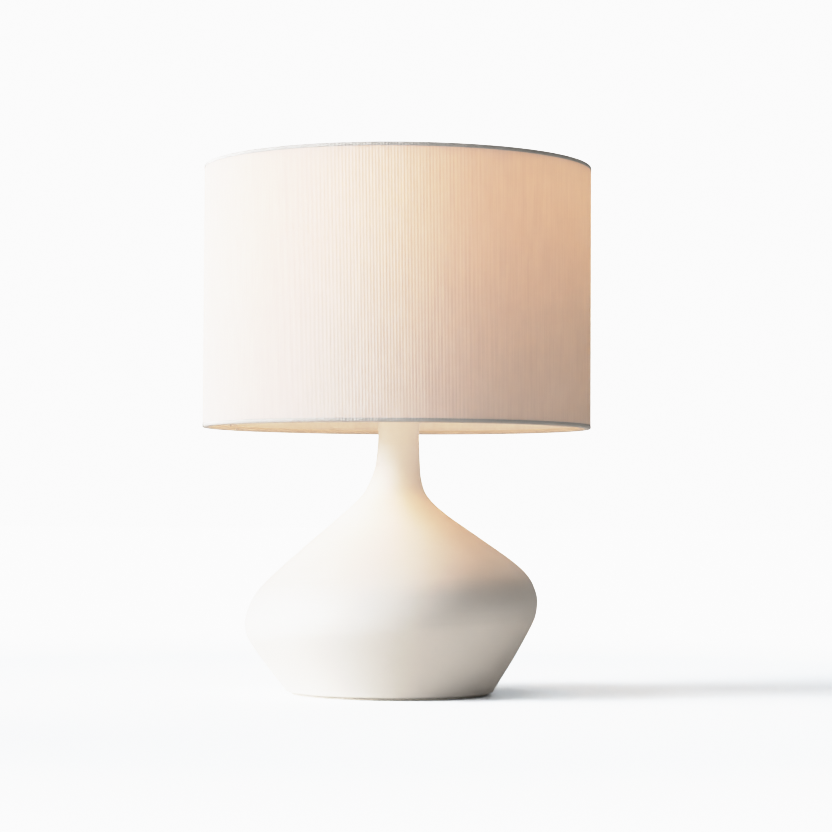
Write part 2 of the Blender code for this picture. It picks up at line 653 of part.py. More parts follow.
def seam_tape():
    """The flat tape over the liner's seam, from one ring to the other."""
    thickness = 0.6 * MM
    distance = LINER_INNER * math.cos(FACET / 2) - GAP - thickness / 2
    bm = bmesh.new()
    bmesh.ops.create_cube(bm, size=1.0)
    bmesh.ops.scale(bm, verts=bm.verts, vec=(thickness, SEAM_WIDTH, SHADE_HEIGHT - 12 * MM))
    turn = Matrix.Rotation(SEAM_ANGLE, 4, "Z")
    shift = Matrix.Translation((distance, 0, (SHADE_TOP + SHADE_BOTTOM) / 2))
    bmesh.ops.transform(bm, matrix=turn @ shift, verts=bm.verts)
    mesh_object("shade_seam_tape", bm, "shade_liner")


def spider():
    """The hub that sits on the harp's stud, and three arms that rise from it to the top ring."""
    seat = HARP_TOP + GAP
    tube("spider_hub", STUD_RADIUS + 0.5 * MM, HUB_RADIUS, seat, seat + HUB_THICKNESS, "white_paint", 20)
    low = seat + HUB_THICKNESS / 2 + 0.8 * MM
    high = SHADE_TOP - HEM_THICKNESS - 2 * GAP - RING_WIRE - 0.8 * MM
    tip = RING_RADIUS - RING_WIRE - GAP
    profile = [
        (HUB_RADIUS + 0.4 * MM, low), (50 * MM, low), (100 * MM, low + 0.8 * MM), (128 * MM, low + 4.5 * MM),
        (150 * MM, high - 2.2 * MM), (163 * MM, high), (tip, high),
    ]
    path = smooth_path(profile, 2)
    for number, degrees in enumerate(ARM_ANGLES, start=1):
        a = math.radians(degrees)
        points = [(p.x * math.cos(a), p.x * math.sin(a), p.y) for p in path]
        wire(f"spider_arm_{number}", points, 1.6 * MM, "white_paint")


# ---------------------------------------------------------------- assembly


def carry(name, place, pieces):
    """Parents the pieces of a moving body to an empty on its joint's axis."""
    empty = bpy.data.objects.new(name, None)
    empty.location = place
    LAMP.objects.link(empty)
    for piece in pieces:
        obj = bpy.data.objects[piece]
        obj.parent = empty
        obj.matrix_parent_inverse = Matrix.Translation(place).inverted()


def moving_bodies():
    """The switch turns, the bulb, harp and finial lift off, the sleeves slide and the shade turns."""
    carry("switch_axis", (SHELL_RADIUS, 0, SWITCH_HEIGHT), ("switch_shaft", "switch_knob"))
    bulb_pieces = ("tip_contact", "insulator", "screw_base", "housing", "dome")
    carry("bulb_axis", (0, 0, BULB_TIP), [f"bulb_{piece}" for piece in bulb_pieces])
    carry("harp_axis", (0, 0, SADDLE_TOP), ("harp", "harp_stud"))
    carry("finial_axis", (0, 0, HARP_TOP), ("finial",))
    arms = [f"spider_arm_{number}" for number in range(1, len(ARM_ANGLES) + 1)]
    walls = ("cover", "liner", "top_hem", "bottom_hem", "top_ring", "bottom_ring", "seam_tape")
    carry("shade_axis", (0, 0, HARP_TOP), ["spider_hub", *arms, *(f"shade_{piece}" for piece in walls)])


def main():
    for obj in list(bpy.data.objects):
        bpy.data.objects.remove(obj)
    bpy.context.scene.collection.children.link(LAMP)
    bpy.context.scene.collection.children.link(CUTTERS)
    ceramic_body()
    cord_grommet()
    felt_pad()
    pipe_and_clamps()
    neck_cap()
    harp_saddle()
    harp()
    harp_stud()
    harp_sleeves()
    socket_cap()
    cap_set_screw()
    socket_shell()
    socket_inside()
    switch()
    leads()
    bulb()
    finial()
    shade_walls()
    hem("shade_top_hem", SHADE_TOP, -1, 1.4 * MM)
    hem("shade_bottom_hem", SHADE_BOTTOM, 1, HEM_HEIGHT)
    shade_rings()
    seam_tape()
    spider()
    moving_bodies()


main()
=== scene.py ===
"""Looks for the table lamp: a leaning matt ceramic body under a ribbed fabric drum shade, lit from inside."""

import json
import math

import bmesh
import bpy
import numpy as np
from mathutils import Matrix, Vector

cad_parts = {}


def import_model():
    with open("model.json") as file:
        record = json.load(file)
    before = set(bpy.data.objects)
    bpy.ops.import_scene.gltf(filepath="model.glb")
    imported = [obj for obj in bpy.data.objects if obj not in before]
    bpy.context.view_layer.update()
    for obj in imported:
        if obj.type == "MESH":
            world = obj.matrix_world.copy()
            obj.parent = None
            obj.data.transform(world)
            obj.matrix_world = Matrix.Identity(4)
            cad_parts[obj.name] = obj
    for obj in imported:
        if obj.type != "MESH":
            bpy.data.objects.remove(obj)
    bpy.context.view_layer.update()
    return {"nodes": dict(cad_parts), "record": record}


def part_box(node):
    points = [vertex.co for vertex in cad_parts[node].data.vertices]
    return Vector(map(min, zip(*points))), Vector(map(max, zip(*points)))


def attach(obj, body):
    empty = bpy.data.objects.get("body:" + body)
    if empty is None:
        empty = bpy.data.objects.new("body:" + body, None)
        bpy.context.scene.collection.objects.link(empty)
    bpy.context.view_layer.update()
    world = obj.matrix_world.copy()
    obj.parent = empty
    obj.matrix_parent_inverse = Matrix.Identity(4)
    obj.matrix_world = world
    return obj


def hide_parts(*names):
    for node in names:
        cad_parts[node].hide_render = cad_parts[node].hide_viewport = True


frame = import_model()
MM = 0.001

# ---------------------------------------------------------------- sizes, from the frame

SHADE_LOW, SHADE_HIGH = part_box("shade_cover")
HEM_LOW, HEM_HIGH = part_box("shade_bottom_hem")[0].z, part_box("shade_top_hem")[1].z
SHADE_RADIUS = SHADE_HIGH.x
LINER_INNER = SHADE_RADIUS - 2.2 * MM  # the wall is the fabric and the lining together
RING_WIRE = (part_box("shade_top_ring")[1].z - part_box("shade_top_ring")[0].z) / 2
RING_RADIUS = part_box("shade_top_ring")[1].x - RING_WIRE
TOP_RING_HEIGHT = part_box("shade_top_ring")[0].z + RING_WIRE
BOTTOM_RING_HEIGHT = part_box("shade_bottom_ring")[0].z + RING_WIRE
SEAM_ANGLE = math.radians(152)
SEAM_LAP = 14 * MM
RIB_COUNT = 895
RIB_DEPTH = 0.29 * MM

NECK_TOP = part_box("ceramic_body")[1].z
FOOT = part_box("felt_pad")[1].z + 0.05 * MM  # the underside of the ceramic, just clear of its pad
PAD_LOW, PAD_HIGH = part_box("felt_pad")
SADDLE_LOW, SADDLE_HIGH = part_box("harp_saddle")
SADDLE_TOP = SADDLE_LOW.z + 1.6 * MM
SOCKET_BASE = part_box("socket_cap")[0].z
SHELL_LOW, SHELL_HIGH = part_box("socket_shell")
KNOB_LOW, KNOB_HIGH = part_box("switch_knob")
DOME_LOW, DOME_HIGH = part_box("bulb_dome")
HARP_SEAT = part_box("spider_hub")[0].z - 0.3 * MM
CAP_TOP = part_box("neck_cap")[1].z
OUTLET = Vector((0, 106.37, 20.0)) * MM  # where the cord would come out of the foot
OUTWARD = Vector((0, 0.8259, -0.5639))  # square to the ceramic wall there


# ---------------------------------------------------------------- outlines


def smooth_path(points, steps):
    """A curve through points of any dimension, with steps - 1 more between each two (Catmull-Rom)."""
    points = [Vector(p) for p in points]
    ends = [points[0] * 2 - points[1], *points, points[-1] * 2 - points[-2]]
    path = []
    for before, a, b, after in zip(ends, ends[1:], ends[2:], ends[3:]):
        for step in range(steps):
            t = step / steps
            path.append(
                a + (b - before) * (t / 2)
                + (before * 2 - a * 5 + b * 4 - after) * (t * t / 2)
                + (a * 3 - before - b * 3 + after) * (t ** 3 / 2)
            )
    return [*path, points[-1]]


def filleted(points, steps=4):
    """An outline with rounded corners. A point is (radius, height) or (radius, height, corner radius)."""
    outline = []
    for i, point in enumerate(points):
        corner = Vector(point[:2])
        round_off = point[2] if len(point) > 2 else 0
        if not round_off:
            outline.append(tuple(corner))
            continue
        before = Vector(points[i - 1][:2]) - corner
        after = Vector(points[(i + 1) % len(points)][:2]) - corner
        reach = min(round_off, before.length * 0.49, after.length * 0.49)
        start, end = corner + before.normalized() * reach, corner + after.normalized() * reach
        for step in range(steps + 1):
            t = step / steps
            outline.append(tuple(start * (1 - t) ** 2 + corner * (2 * t * (1 - t)) + end * t ** 2))
    return outline


# ---------------------------------------------------------------- mesh helpers


def new_mesh_object(name, vertices, faces, uvs=None):
    """A smooth-shaded object from plain lists. uvs holds one pair for each corner of each face, in metres."""
    mesh = bpy.data.meshes.new(name)
    mesh.from_pydata([tuple(v) for v in vertices], [], faces)
    if uvs is not None:
        layer = mesh.uv_layers.new(name="size")
        layer.data.foreach_set("uv", np.asarray(uvs, dtype=np.float32).ravel())
    mesh.shade_smooth()
    obj = bpy.data.objects.new(name, mesh)
    bpy.context.scene.collection.objects.link(obj)
    return obj


def rings_to_faces(rings, closed, reference_radius):
    """Faces and uvs between neighbouring rings of vertex numbers. A ring of one number is a pole."""
    segments = max(len(ring[0]) for ring in rings)
    width = math.tau * reference_radius / segments
    pairs = list(zip(rings, rings[1:]))
    if closed:
        pairs.append((rings[-1], (rings[0][0], rings[-1][1] + 0.002)))
    faces, uvs = [], []
    for (upper, v_upper), (lower, v_lower) in pairs:
        if len(upper) == len(lower) == 1:
            continue
        for k in range(segments):
            n = (k + 1) % segments
            u, u_next = k * width, (k + 1) * width
            if len(upper) == 1:
                faces.append((upper[0], lower[k], lower[n]))
                uvs += [(u, v_upper), (u, v_lower), (u_next, v_lower)]
            elif len(lower) == 1:
                faces.append((upper[k], lower[0], upper[n]))
                uvs += [(u, v_upper), (u, v_lower), (u_next, v_upper)]
            else:
                faces.append((upper[k], lower[k], lower[n], upper[n]))
                uvs += [(u, v_upper), (u, v_lower), (u_next, v_lower), (u_next, v_upper)]
    return faces, uvs


def revolve(name, outline, segments=96, closed=True, shape=None, flat_angle=38):
    """A solid turned about Z from (radius, height) points, down its outer side and up its inner one.

    shape(angles, i) may give the radial offset of outline point i at every angle."""
    angles = np.arange(segments) * math.tau / segments
    cosines, sines = np.cos(angles), np.sin(angles)
    vertices, rings, along = [], [], 0.0
    reference = max(r for r, _ in outline)
    for i, (radius, height) in enumerate(outline):
        if i:
            along += math.dist(outline[i], outline[i - 1])
        first = len(vertices)
        if radius < 1e-7:
            vertices.append((0.0, 0.0, height))
            rings.append(([first], along))
            continue
        radii = radius + (shape(angles, i) if shape else 0.0) * np.ones(segments)
        vertices += [(r * c, r * s, height) for r, c, s in zip(radii, cosines, sines)]
        rings.append((list(range(first, first + segments)), along))
    faces, uvs = rings_to_faces(rings, closed, reference)
    obj = new_mesh_object(name, vertices, faces, uvs)
    obj.data.set_sharp_from_angle(angle=math.radians(flat_angle))
    return obj


def wire(name, points, radius):
    """A round wire along a list of points, as a curve with filled ends."""
    curve = bpy.data.curves.new(name, "CURVE")
    curve.dimensions = "3D"
    curve.bevel_depth = radius
    curve.bevel_resolution = 6
    curve.use_fill_caps = True
    spline = curve.splines.new("POLY")
    spline.points.add(len(points) - 1)
    for target, point in zip(spline.points, points):
        target.co = (*point, 1.0)
    spline.use_smooth = True
    obj = bpy.data.objects.new(name, curve)
    bpy.context.scene.collection.objects.link(obj)
    return obj


def applied(obj):
    """The object with its modifiers applied, or a curve as a welded mesh."""
    evaluated = obj.evaluated_get(bpy.context.evaluated_depsgraph_get())
    mesh = bpy.data.meshes.new_from_object(evaluated)
    bm = bmesh.new()
    bm.from_mesh(mesh)
    bmesh.ops.remove_doubles(bm, verts=bm.verts, dist=1e-6)
    bm.to_mesh(mesh)
    bm.free()
    name, place = obj.name, obj.matrix_world.copy()
    materials = [slot.material for slot in obj.material_slots]
    bpy.data.objects.remove(obj)
    mesh.name = name
    made = bpy.data.objects.new(name, mesh)
    made.matrix_world = place
    for material in materials if not mesh.materials else []:
        mesh.materials.append(material)
    bpy.context.scene.collection.objects.link(made)
    return made


def place(obj, body, slot, material, *nodes):
    """Gives a piece its material and its body, and hides the CAD nodes that it stands for. The slot is not
    used.
    """
    if material and not obj.data.materials:
        obj.data.materials.append(material)
    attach(obj, body)
    if nodes:
        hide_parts(*nodes)
    return obj


# ---------------------------------------------------------------- material helpers


class Nodes:
    """A short way to build a material's node tree."""

    def __init__(self, name):
        self.material = bpy.data.materials.new(name)
        self.material.use_nodes = True
        self.tree = self.material.node_tree
        self.surface = self.tree.nodes["Principled BSDF"]
        self.output = self.tree.nodes["Material Output"]

    def add(self, kind, **settings):
        node = self.tree.nodes.new(kind)
        for key, value in settings.items():
            setattr(node, key, value)
        return node

    def link(self, start, end):
        self.tree.links.new(start, end)

    def coordinates(self, scale=(1, 1, 1), source="Object"):
        """Texture coordinates in metres, times a scale for each axis."""
        origin = self.add("ShaderNodeTexCoord")
        mapping = self.add("ShaderNodeMapping")
        mapping.inputs["Scale"].default_value = scale
        self.link(origin.outputs[source], mapping.inputs["Vector"])
        return mapping.outputs["Vector"]

    def noise(self, scale, detail=3.0, roughness=0.5, stretch=(1, 1, 1), source="Object"):
        """Noise whose scale is in cells a metre."""
        node = self.add("ShaderNodeTexNoise")
        node.inputs["Scale"].default_value = scale
        node.inputs["Detail"].default_value = detail
        node.inputs["Roughness"].default_value = roughness
        self.link(self.coordinates(stretch, source), node.inputs["Vector"])
        return node.outputs["Fac"]

    def math(self, operation, a, b=0.0):
        node = self.add("ShaderNodeMath", operation=operation)
        for socket, value in zip(node.inputs, (a, b)):
            if isinstance(value, (int, float)):
                socket.default_value = value
            else:
                self.link(value, socket)
        return node.outputs[0]

    def spread(self, value, low, high, from_low=0.3, from_high=0.7):
        """The value's range from_low to from_high, spread over low to high."""
        node = self.add("ShaderNodeMapRange")
        self.link(value, node.inputs["Value"])
        settings = (from_low, from_high, low, high)
        for socket, number in zip(("From Min", "From Max", "To Min", "To Max"), settings):
            node.inputs[socket].default_value = number
        return node.outputs["Result"]

    def colours(self, value, first, second):
        """A colour between two, as the value goes from 0 to 1."""
        node = self.add("ShaderNodeMix", data_type="RGBA")
        self.link(value, node.inputs["Factor"])
        node.inputs["A"].default_value = (*first, 1)
        node.inputs["B"].default_value = (*second, 1)
        return node.outputs["Result"]

    def bump(self, height, distance, normal=None):
        """A bump whose full height is the distance, in metres."""
        node = self.add("ShaderNodeBump")
        node.inputs["Strength"].default_value = 1.0
        node.inputs["Distance"].default_value = distance
        self.link(height, node.inputs["Height"])
        if normal:
            self.link(normal, node.inputs["Normal"])
        return node.outputs["Normal"]

    def set(self, **sockets):
        """Sets or links the main shader's sockets, named with _ for a space."""
        for key, value in sockets.items():
            socket = self.surface.inputs[key.replace("_", " ")]
            if isinstance(value, (int, float)):
                socket.default_value = value
            elif isinstance(value, tuple):
                socket.default_value = (*value, 1)
            else:
                self.link(value, socket)
        return self.material


# ---------------------------------------------------------------- materials


def ceramic():
    """Matt white bisque: faint clouding, fine grain, and the soft rings that turning leaves."""
    n = Nodes("matt_ceramic")
    cloud = n.spread(n.noise(9, 4), 0, 1, 0.35, 0.65)
    colour = n.colours(cloud, (0.705, 0.677, 0.645), (0.74, 0.712, 0.68))
    grain = n.noise(1400, 3, 0.6)
    rings = n.noise(1.0, 3, 0.55, (6, 6, 160))
    normal = n.bump(rings, 0.35 * MM, n.bump(grain, 0.05 * MM))
    return n.set(Base_Color=colour, Roughness=n.spread(n.noise(60, 3), 0.5, 0.62), Normal=normal,
                 Specular_IOR_Level=0.4)


def ribbed_fabric(name, light, dark, translucency=0, roughness=0.9, specular=0.15, ior=1.5):
    """Corded fabric in two near tones. The cords are real ribs; their yarn and the weft are in the bump."""
    n = Nodes(name)
    cord = n.noise(1.0, 2, 0.5, (RIB_COUNT / (math.tau * SHADE_RADIUS), 14, 1), "UV")
    slub = n.noise(1.0, 2, 0.5, (120, 45, 1), "UV")
    streak = n.math("ADD", n.math("MULTIPLY", cord, 0.7), n.math("MULTIPLY", slub, 0.3))
    colour = n.colours(n.spread(streak, 0, 1, 0.36, 0.64), dark, light)
    weft = n.add("ShaderNodeTexWave", wave_type="BANDS", bands_direction="Y")
    weft.inputs["Scale"].default_value = 520
    weft.inputs["Distortion"].default_value = 1.5
    n.link(n.coordinates((1, 1, 1), "UV"), weft.inputs["Vector"])
    normal = n.bump(weft.outputs["Fac"], 0.02 * MM, n.bump(n.noise(2600, 2), 0.03 * MM))
    n.set(Base_Color=colour, Roughness=roughness, Normal=normal, Sheen_Weight=0.06, Sheen_Roughness=0.5,
          Specular_IOR_Level=specular, IOR=ior)
    if translucency:
        see_through(n, n.colours(n.spread(streak, 0, 1, 0.36, 0.64), *THROUGH_FABRIC), normal, translucency)
    return n.material


def see_through(n, colour, normal, share):
    """Mixes a translucent shader into the material's surface."""
    back = n.add("ShaderNodeBsdfTranslucent")
    n.link(colour, back.inputs["Color"])
    n.link(normal, back.inputs["Normal"])
    mix = n.add("ShaderNodeMixShader")
    mix.inputs["Fac"].default_value = share
    n.link(n.surface.outputs["BSDF"], mix.inputs[1])
    n.link(back.outputs["BSDF"], mix.inputs[2])
    n.link(mix.outputs["Shader"], n.output.inputs["Surface"])


def lining(translucency):
    """White styrene sheet with a faint satin sheen and a fine mottle."""
    n = Nodes("styrene_lining")
    mottle = n.noise(240, 3)
    colour = n.colours(n.spread(mottle, 0, 1, 0.4, 0.6), (0.57, 0.605, 0.66), (0.60, 0.635, 0.69))
    normal = n.bump(n.noise(700, 2), 0.03 * MM)
    n.set(Base_Color=colour, Roughness=0.5, Normal=normal)
    see_through(n, colour, normal, translucency)
    return n.material


def metal(name, colour, worn, roughness, brushed=(1, 1, 1)):
    """Bare or plated metal with fine brush marks and light handling marks."""
    n = Nodes(name)
    brush = n.noise(900, 3, 0.6, brushed)
    marks = n.noise(35, 4, 0.6)
    tint = n.colours(n.spread(marks, 0, 1, 0.4, 0.7), colour, worn)
    rough = n.math("ADD", n.spread(brush, -0.05, 0.05), n.spread(marks, roughness - 0.03, roughness + 0.05))
    return n.set(Base_Color=tint, Roughness=rough, Metallic=1.0, Normal=n.bump(brush, 0.012 * MM))


def painted(name, colour, roughness, grain=0.02):
    """Paint or moulded plastic with a very fine orange peel."""
    n = Nodes(name)
    shade = tuple(c * 0.93 for c in colour)
    tint = n.colours(n.spread(n.noise(50, 3), 0, 1), colour, shade)
    rough = n.spread(n.noise(400, 2), roughness - 0.05, roughness + 0.06)
    return n.set(Base_Color=tint, Roughness=rough, Normal=n.bump(n.noise(1800, 2), grain * MM))


def fibrous(name, light, dark, grain):
    """Felt or card: matted fibres in two tones."""
    n = Nodes(name)
    fibres = n.noise(1500, 4, 0.7, (1, 1, 0.3))
    tint = n.colours(n.spread(fibres, 0, 1), dark, light)
    return n.set(Base_Color=tint, Roughness=0.95, Normal=n.bump(fibres, grain * MM), Sheen_Weight=0.3)


def lit_diffuser():
    """The frosted plastic of the bulb's dome, glowing."""
    n = Nodes("lit_diffuser")
    frost = n.noise(500, 3)
    tint = n.colours(n.spread(frost, 0, 1), (0.90, 0.86, 0.78), (0.94, 0.91, 0.84))
    n.set(Base_Color=tint, Roughness=0.5, Normal=n.bump(frost, 0.02 * MM),
          Emission_Color=BULB_COLOUR, Emission_Strength=BULB_GLOW)
    return n.material


BULB_COLOUR = (1.0, 0.64, 0.36)
BULB_GLOW = 3.0
THROUGH_FABRIC = ((0.86, 0.55, 0.248), (0.93, 0.605, 0.275))  # the two tones of the bulb's light through it

CERAMIC = ceramic()
FABRIC = ribbed_fabric("ribbed_fabric", (0.925, 0.915, 0.935), (0.855, 0.84, 0.865), translucency=0.4)
# The folded edge of the white fabric, given a dark tone as painted shade because it gets none of the bulb's
# glow; its strong gloss reflects the light from the left and turns it nearly white there.
HEM_FABRIC = ribbed_fabric(
    "hem_fabric", (0.31, 0.28, 0.25), (0.265, 0.24, 0.215), roughness=0.5, specular=1.0, ior=2.25,
)
# The hems' inner fold, darker than the lining: painted shade along the inside of each rim.
HEM_BACKING = fibrous("hem_backing", (0.42, 0.405, 0.38), (0.35, 0.335, 0.315), 0.05)
LINING = lining(translucency=0.35)
NICKEL = metal("satin_nickel", (0.66, 0.63, 0.59), (0.58, 0.55, 0.51), 0.28, (1, 1, 12))
WIRE_NICKEL = metal("drawn_nickel_wire", (0.68, 0.66, 0.62), (0.60, 0.57, 0.53), 0.24, (1, 1, 0.1))
STEEL = metal("zinc_plated_steel", (0.60, 0.60, 0.61), (0.50, 0.50, 0.50), 0.36)
BRASS = metal("brass", (0.78, 0.58, 0.27), (0.62, 0.44, 0.20), 0.30)
WHITE_PAINT = painted("white_powder_coat", (0.82, 0.81, 0.79), 0.45, 0.04)
WHITE_PLASTIC = painted("white_plastic", (0.84, 0.835, 0.82), 0.38)
BLACK_PLASTIC = painted("black_plastic", (0.022, 0.022, 0.024), 0.36)
NYLON = painted("translucent_nylon", (0.70, 0.72, 0.72), 0.30)
FELT = fibrous("pale_felt", (0.74, 0.71, 0.66), (0.58, 0.55, 0.50), 0.25)
CARD = fibrous("insulating_card", (0.38, 0.29, 0.19), (0.25, 0.18, 0.11), 0.08)
DIFFUSER = lit_diffuser()

SLOT_MATERIALS = {
    "ceramic": CERAMIC, "felt": FELT, "card": CARD, "steel": STEEL, "nickel": NICKEL, "brass": BRASS,
    "white_paint": WHITE_PAINT, "white_plastic": WHITE_PLASTIC, "black_plastic": BLACK_PLASTIC,
    "clear_plastic": NYLON, "bulb_diffuser": DIFFUSER, "shade_fabric": FABRIC, "shade_liner": LINING,
    "hem_fabric": HEM_FABRIC,
}


# ---------------------------------------------------------------- turned and drilled pieces


def turned(name, points, segments=72, at=(0, 0, 0), along=(0, 0, 1), shape=None):
    """A turned piece from (radius, height, corner radius) points in mm, at a place and along a direction."""
    outline = [(r * MM, z * MM) for r, z in filleted(points, 5)]
    closed = outline[0][0] > 0 or outline[-1][0] > 0
    offsets = (lambda angles, i: shape(angles, *outline[i])) if shape else None
    obj = revolve(name, outline, segments, closed, offsets)
    turn = Vector((0, 0, 1)).rotation_difference(Vector(along)).to_matrix().to_4x4()
    obj.data.transform(Matrix.Translation(at) @ turn)
    return obj


def drill(obj, radius, start, end):
    """Drills a round hole between two points and returns the new object."""
    start, end = Vector(start), Vector(end)
    bm = bmesh.new()
    turn = (end - start).to_track_quat("Z", "Y").to_matrix().to_4x4()
    bmesh.ops.create_cone(
        bm, cap_ends=True, segments=48, radius1=radius, radius2=radius, depth=(end - start).length,
        matrix=Matrix.Translation((start + end) / 2) @ turn,
    )
    mesh = bpy.data.meshes.new("drill")
    bm.to_mesh(mesh)
    bm.free()
    bit = bpy.data.objects.new("drill", mesh)
    bpy.context.scene.collection.objects.link(bit)
    modifier = obj.modifiers.new("hole", "BOOLEAN")
    modifier.object = bit
    bpy.context.view_layer.update()
    obj = applied(obj)
    bpy.data.objects.remove(bit)
    return obj


def knurl(count, depth, low, high):
    """A shape for turned(): grooves along the piece where its radius lies between two, in mm."""
    def shape(angles, radius, height):
        inside = low * MM < radius < high * MM
        return -depth * MM * (0.5 - 0.5 * np.cos(angles * count)) ** 2 if inside else 0.0
    return shape


def helix(pitch, depth, low, high, start, end):
    """A shape for turned(): a screw thread where radius and height lie between limits, in mm."""
    def shape(angles, radius, height):
        if not (low * MM < radius < high * MM and start * MM < height < end * MM):
            return 0.0
        turn = (height / (pitch * MM) - angles / math.tau) % 1.0
        return -depth * MM * (0.5 + 0.5 * np.cos(math.tau * turn))
    return shape


def steps(radius, start, end, count):
    """Points up the side of a cylinder, for a thread."""
    return [(radius, start + (end - start) * i / count) for i in range(count + 1)]


# ---------------------------------------------------------------- ceramic body

# (radius, height) in mm down its right (+X) and left (-X) side, point by matching point
RIGHT_SIDE = (
    (20.7, 250.5), (21.0, 231.0), (21.7, 212.0), (23.2, 196.0), (29.0, 181.0), (46.0, 164.8), (77.9, 142.7),
    (106.5, 122.6), (122.0, 107.8), (129.2, 91.5), (129.3, 77.5), (124.8, 63.8), (108.0, 33.0), (91.5, 6.6),
)
LEFT_SIDE = (
    (16.4, 250.5), (17.1, 231.0), (18.8, 212.5), (22.6, 199.0), (31.0, 182.8), (50.0, 164.3), (84.5, 134.5),
    (113.0, 108.8), (128.5, 91.6), (136.6, 74.0), (138.0, 60.5), (133.8, 48.3), (116.0, 23.5), (101.5, 5.2),
)


def body_outline(side, neck_hole, foot_edge, foot_cavity, cavity_corner):
    """The closed outline of the ceramic wall on one side: down the outside, and back up the inside."""
    between = 7  # steps from one of the side's points to the next
    outside = [tuple(p) for p in smooth_path([Vector(p) * MM for p in side], between)]
    under, floor, hole, wall = 38 * MM, 44 * MM, 7.5 * MM, 7 * MM
    neck = [(outside[0][0] - 3.5 * MM, NECK_TOP), (outside[0][0], NECK_TOP, 3.4 * MM)]
    foot = [
        (outside[-1][0] - 1.4 * MM, FOOT + 1.1 * MM, 0.8 * MM), (foot_edge, FOOT, 0.6 * MM),
        (foot_edge - 4 * MM, FOOT),
    ]
    inside = [(r - wall, z + wall / 3) for r, z in outside[8 * between:between:-between]]
    path = [
        *neck, *outside, *foot, (foot_cavity, FOOT), (cavity_corner, under, 3 * MM), (hole, under),
        (hole, floor), (cavity_corner + 4 * MM, floor), *inside, (neck_hole, inside[-1][1] + 6 * MM),
        (neck_hole, NECK_TOP),
    ]
    return filleted(path)


def leaning_loft(name, right, left, segments):
    """A closed solid whose outline changes smoothly from the right one at +X to the left one at -X."""
    angles = np.arange(segments) * math.tau / segments
    share = (1 + np.cos(angles)) / 2
    vertices, rings, along = [], [], 0.0
    for i, (a, b) in enumerate(zip(right, left)):
        if i:
            along += math.dist(right[i], right[i - 1])
        radii, heights = b[0] + (a[0] - b[0]) * share, b[1] + (a[1] - b[1]) * share
        first = len(vertices)
        vertices += list(zip(radii * np.cos(angles), radii * np.sin(angles), heights))
        rings.append((list(range(first, first + segments)), along))
    faces, uvs = rings_to_faces(rings, True, 0.13)
    return new_mesh_object(name, vertices, faces, uvs)


def ceramic_body():
    right = body_outline(RIGHT_SIDE, 13.0 * MM, 86.8 * MM, 79.5 * MM, 102.0 * MM)
    left = body_outline(LEFT_SIDE, 9.6 * MM, 96.6 * MM, 89.0 * MM, 117.5 * MM)
    body = leaning_loft("body_ceramic", right, left, 144)
    body.data.set_sharp_from_angle(angle=math.radians(50))
    body = drill(body, 6.6 * MM, OUTLET - OUTWARD * 25 * MM, OUTLET + OUTWARD * 15 * MM)
    place(body, "lamp", "ceramic", CERAMIC, "ceramic_body")


# ---------------------------------------------------------------- shade


def rib_profile(angles):
    """How far each point lies below the top of the cords, from 0 on a cord to 1 in the valley."""
    across = (angles / math.tau * RIB_COUNT) % 1.0
    return 1 - np.sqrt(np.clip(1 - (2 * across - 1) ** 2, 0, 1))


def shade_surface(angles):
    """The shade's small radial differences: its cords, their uneven tension, and the lap of its seam."""
    cords = -RIB_DEPTH * rib_profile(angles)
    tension = 0.05 * MM * np.sin(angles * 37 + 1.3) * np.sin(angles * 23)
    lap = (SEAM_ANGLE - angles) * SHADE_RADIUS
    overlap = 0.35 * MM * np.clip(lap / (0.4 * MM), 0, 1) * np.clip((SEAM_LAP - lap) / (5 * MM), 0, 1)
    return cords + tension + overlap


def line_inside(obj, outer, inner, border):
    """Gives a drum its outer material, and an inner one to the faces nearer its axis than the border."""
    obj.data.materials.append(outer)
    obj.data.materials.append(inner)
    radii = np.array([math.hypot(*polygon.center[:2]) for polygon in obj.data.polygons])
    obj.data.polygons.foreach_set("material_index", (radii < border).astype(np.int32))


def shade_wall():
    """The laminated wall: ribbed fabric outside, styrene lining inside."""
    low, high = SHADE_LOW.z, SHADE_HIGH.z
    inner, edge = LINER_INNER, SHADE_RADIUS
    bands = 4
    outside = [(edge, high + (low - high) * step / bands) for step in range(bands + 1)]
    inside = [(inner, low + (high - low) * step / bands) for step in range(bands + 1)]

    def ribs(angles, i):
        return shade_surface(angles) if i <= bands else 0.0

    wall = revolve("shade_wall", outside + inside, RIB_COUNT * 6, shape=ribs)
    line_inside(wall, FABRIC, LINING, (inner + edge) / 2)
    place(wall, "shade", "shade_fabric", None, "shade_cover", "shade_liner")


def shade_hem(name, node, edge, up):
    """The fabric's folded edge, over a ring. up is 1 at the lower edge and -1 at the upper one."""
    outer, inner, cloth = SHADE_RADIUS + 0.15 * MM, RING_RADIUS - RING_WIRE - 0.7 * MM, 0.55 * MM
    fold = 3.9 * MM  # how far the cloth reaches from the edge, outside and inside
    outline = [
        (outer - 0.5 * MM, fold), (outer, fold - 0.5 * MM, 0.3 * MM), (outer, 0, 1.0 * MM),
        (inner, 0, 1.2 * MM), (inner, fold, 0.3 * MM), (inner + cloth, fold),
        (inner + cloth, cloth), (outer - 0.9 * MM, cloth), (outer - 0.9 * MM, fold),
    ]
    outline = [(r, edge + up * z) for r, z in filleted(outline, 2)]
    if up < 0:
        outline.reverse()
    middle = (outer + inner) / 2

    def cords(angles, i):
        radius = outline[i][0]
        if radius > outer - 0.4 * MM:
            return shade_surface(angles) * 1.5
        return RIB_DEPTH * 0.6 * rib_profile(angles) if radius < middle - 2 * MM else 0.0

    hem = revolve(name, outline, RIB_COUNT * 6, shape=cords)
    # Both the hem's outer fabric and its inner fold carry painted shade in their darkened tones.
    line_inside(hem, HEM_FABRIC, HEM_BACKING, middle - 1 * MM)
    place(hem, "shade", "hem_fabric", None, node)


